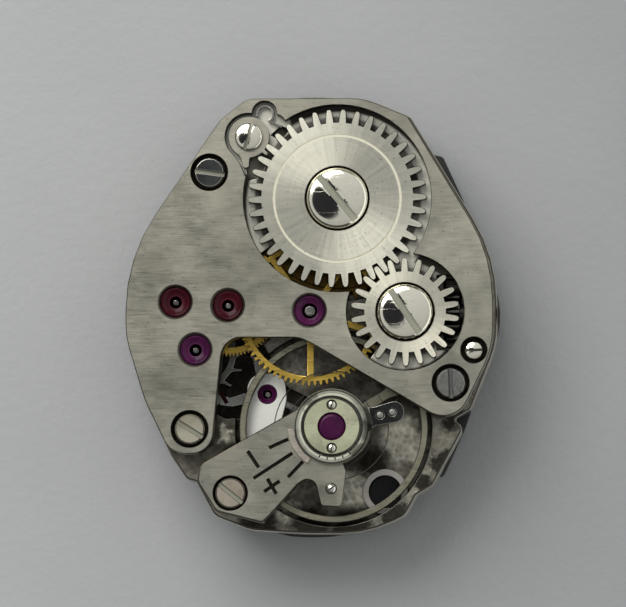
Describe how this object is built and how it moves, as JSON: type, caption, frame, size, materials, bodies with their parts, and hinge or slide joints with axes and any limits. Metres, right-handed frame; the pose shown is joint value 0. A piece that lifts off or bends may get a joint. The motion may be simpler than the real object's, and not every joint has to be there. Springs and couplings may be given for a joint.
{
  "type": "watch movement",
  "caption": "Oval hand-wound lever watch movement: plates and bridges with going train, escapement, balance, winding work, motion work and a plain dial beneath.",
  "frame": {"origin": "on the axis of the hands, at the tip of the cannon pinion, under the dial", "axes": "+Z from the dial towards the bridges, +Y towards twelve o'clock on the dial's long axis, +X towards the winding stem"},
  "size_m": [0.0132, 0.0156, 0.0046],
  "materials": {
    "nickel_plate": "nickel-plated brass with a fine satin grain",
    "satin_bridge": "nickel-plated brass brushed along its length",
    "white_bridge": "bright nickel-plated brass",
    "polished_steel": "polished steel",
    "satin_steel": "steel with a fine turned grain",
    "blued_steel": "blued steel",
    "dark_steel": "dark hardened steel",
    "gold_brass": "gold-coloured brass",
    "balance_nickel": "grey-green nickel alloy",
    "cap_cream": "pale satin nickel",
    "ruby": "polished synthetic ruby",
    "dial_black": "black lacquered brass"
  },
  "bodies": {
    "frame": {"main_plate": "nickel_plate", "train_bridge": "satin_bridge", "balance_cock": "satin_bridge", "pallet_bridge": "white_bridge", "dial": "dial_black", "bridge_screws": "polished_steel", "blued_bridge_screw": "blued_steel", "cock_screw": "polished_steel", "pallet_bridge_screws": "polished_steel", "click_screw": "polished_steel", "crown_wheel_screw": "polished_steel", "crown_wheel_core": "polished_steel", "dial_foot_screws": "polished_steel", "bridge_jewels": "ruby", "plate_jewels": "ruby", "pallet_bridge_jewel": "ruby", "balance_jewels": "ruby", "cap_jewels": "ruby", "cap_plates": "cap_cream", "cap_plate_screws": "polished_steel", "hairspring_stud": "polished_steel", "stud_screw": "polished_steel", "hairspring": "blued_steel", "click_spring": "polished_steel", "yoke_spring": "polished_steel"},
    "centre": {"centre_wheel": "gold_brass", "centre_pinion": "polished_steel"},
    "third": {"third_wheel": "gold_brass", "third_pinion": "polished_steel"},
    "fourth": {"fourth_wheel": "gold_brass", "fourth_pinion": "polished_steel"},
    "escape": {"escape_wheel": "satin_steel", "escape_pinion": "polished_steel"},
    "barrel": {"barrel_drum": "gold_brass", "barrel_cover": "gold_brass", "mainspring": "satin_steel"},
    "cannon": {"cannon_pinion": "polished_steel"},
    "minute": {"minute_wheel": "gold_brass"},
    "hour": {"hour_wheel": "gold_brass"},
    "setting": {"setting_wheel": "polished_steel"},
    "ratchet": {"ratchet_wheel": "satin_steel", "barrel_arbor": "polished_steel", "ratchet_screw": "polished_steel"},
    "crown": {"crown_wheel": "satin_steel"},
    "winding": {"winding_pinion": "polished_steel"},
    "click": {"click": "polished_steel"},
    "balance": {"balance_wheel": "balance_nickel", "balance_staff": "polished_steel", "roller": "polished_steel", "impulse_jewel": "ruby", "collet": "gold_brass"},
    "pallets": {"pallet_fork": "polished_steel", "pallet_staff": "polished_steel", "pallet_stones": "ruby"},
    "regulator": {"regulator": "dark_steel", "curb_pins": "polished_steel"},
    "yoke": {"yoke": "satin_steel"},
    "sliding": {"sliding_pinion": "polished_steel"},
    "setting_lever": {"setting_lever": "satin_steel", "setting_lever_screw": "polished_steel"}
  },
  "joints": [
    {"name": "centre_turn", "type": "hinge", "parent": "frame", "child": "centre", "pos_m": [0, 0, 0.0034], "axis": [0, 0, 1], "continuous": true},
    {"name": "third_turn", "type": "hinge", "parent": "frame", "child": "third", "pos_m": [-0.00285, 0.00019, 0.0031], "axis": [0, 0, 1], "continuous": true},
    {"name": "fourth_turn", "type": "hinge", "parent": "frame", "child": "fourth", "pos_m": [-0.00468, 0.00031, 0.0028], "axis": [0, 0, 1], "continuous": true},
    {"name": "escape_turn", "type": "hinge", "parent": "frame", "child": "escape", "pos_m": [-0.00398, -0.00136, 0.0025], "axis": [0, 0, 1], "continuous": true},
    {"name": "barrel_turn", "type": "hinge", "parent": "frame", "child": "barrel", "pos_m": [0.00097, 0.00392, 0.0025], "axis": [0, 0, 1], "continuous": true},
    {"name": "cannon_turn", "type": "hinge", "parent": "frame", "child": "cannon", "pos_m": [0, 0, 0.0017], "axis": [0, 0, 1], "continuous": true},
    {"name": "minute_wheel_turn", "type": "hinge", "parent": "frame", "child": "minute", "pos_m": [0.00114, -0.00139, 0.0017], "axis": [0, 0, 1], "continuous": true},
    {"name": "hour_turn", "type": "hinge", "parent": "frame", "child": "hour", "pos_m": [0, 0, 0.0014], "axis": [0, 0, 1], "continuous": true},
    {"name": "setting_wheel_turn", "type": "hinge", "parent": "frame", "child": "setting", "pos_m": [0.0026, -0.00006, 0.0019], "axis": [0, 0, 1], "continuous": true},
    {"name": "winding_turn", "type": "hinge", "parent": "frame", "child": "ratchet", "pos_m": [0.00097, 0.00392, 0.0039], "axis": [0, 0, 1], "range_deg": [-2160, 0]},
    {"name": "crown_turn", "type": "hinge", "parent": "frame", "child": "crown", "pos_m": [0.00333, -0.00006, 0.0039], "axis": [0, 0, 1], "range_deg": [0, 3730.92]},
    {"name": "winding_pinion_turn", "type": "hinge", "parent": "frame", "child": "winding", "pos_m": [0.00472, -0.00006, 0.00284], "axis": [1, 0, 0], "range_deg": [-5862.87, 0]},
    {"name": "click_rock", "type": "hinge", "parent": "frame", "child": "click", "pos_m": [-0.00213, 0.0061, 0.00395], "axis": [0, 0, 1], "range_deg": [0, 5], "stiffness_Nm_per_rad": 0.000002},
    {"name": "balance_turn", "type": "hinge", "parent": "frame", "child": "balance", "pos_m": [0.00079, -0.00405, 0.0029], "axis": [0, 0, 1], "range_deg": [-270, 270], "stiffness_Nm_per_rad": 0.000000035},
    {"name": "pallet_rock", "type": "hinge", "parent": "frame", "child": "pallets", "pos_m": [-0.00156, -0.00283, 0.0023], "axis": [0, 0, 1], "range_deg": [-5, 5]},
    {"name": "regulator_turn", "type": "hinge", "parent": "frame", "child": "regulator", "pos_m": [0.00079, -0.00405, 0.0044], "axis": [0, 0, 1], "range_deg": [-20, 20]},
    {"name": "sliding_pinion_slide", "type": "slide", "parent": "frame", "child": "sliding", "axis": [1, 0, 0], "range_m": [-0.0002, 0.0002]},
    {"name": "yoke_rock", "type": "hinge", "parent": "frame", "child": "yoke", "pos_m": [0.00405, 0.0022, 0.00145], "axis": [0, 0, 1], "range_deg": [-5.08, 5.08]},
    {"name": "setting_lever_rock", "type": "hinge", "parent": "frame", "child": "setting_lever", "pos_m": [0.00572, -0.0014, 0.00145], "axis": [0, 0, 1], "range_deg": [-6.2, 6.2]}
  ],
  "couplings": [
    {"joint": "third_turn", "follows": "centre_turn", "ratio": -7.5},
    {"joint": "fourth_turn", "follows": "centre_turn", "ratio": 75},
    {"joint": "escape_turn", "follows": "centre_turn", "ratio": -600},
    {"joint": "barrel_turn", "follows": "centre_turn", "ratio": -0.2},
    {"joint": "cannon_turn", "follows": "centre_turn", "ratio": 1},
    {"joint": "minute_wheel_turn", "follows": "centre_turn", "ratio": -0.33333},
    {"joint": "hour_turn", "follows": "centre_turn", "ratio": 0.083333},
    {"joint": "setting_wheel_turn", "follows": "centre_turn", "ratio": 0.71429},
    {"joint": "crown_turn", "follows": "winding_turn", "ratio": -1.7273},
    {"joint": "winding_pinion_turn", "follows": "winding_turn", "ratio": 2.7143},
    {"joint": "yoke_rock", "follows": "sliding_pinion_slide", "rad_per_m": 442.48},
    {"joint": "setting_lever_rock", "follows": "sliding_pinion_slide", "rad_per_m": 530.97}
  ]
}
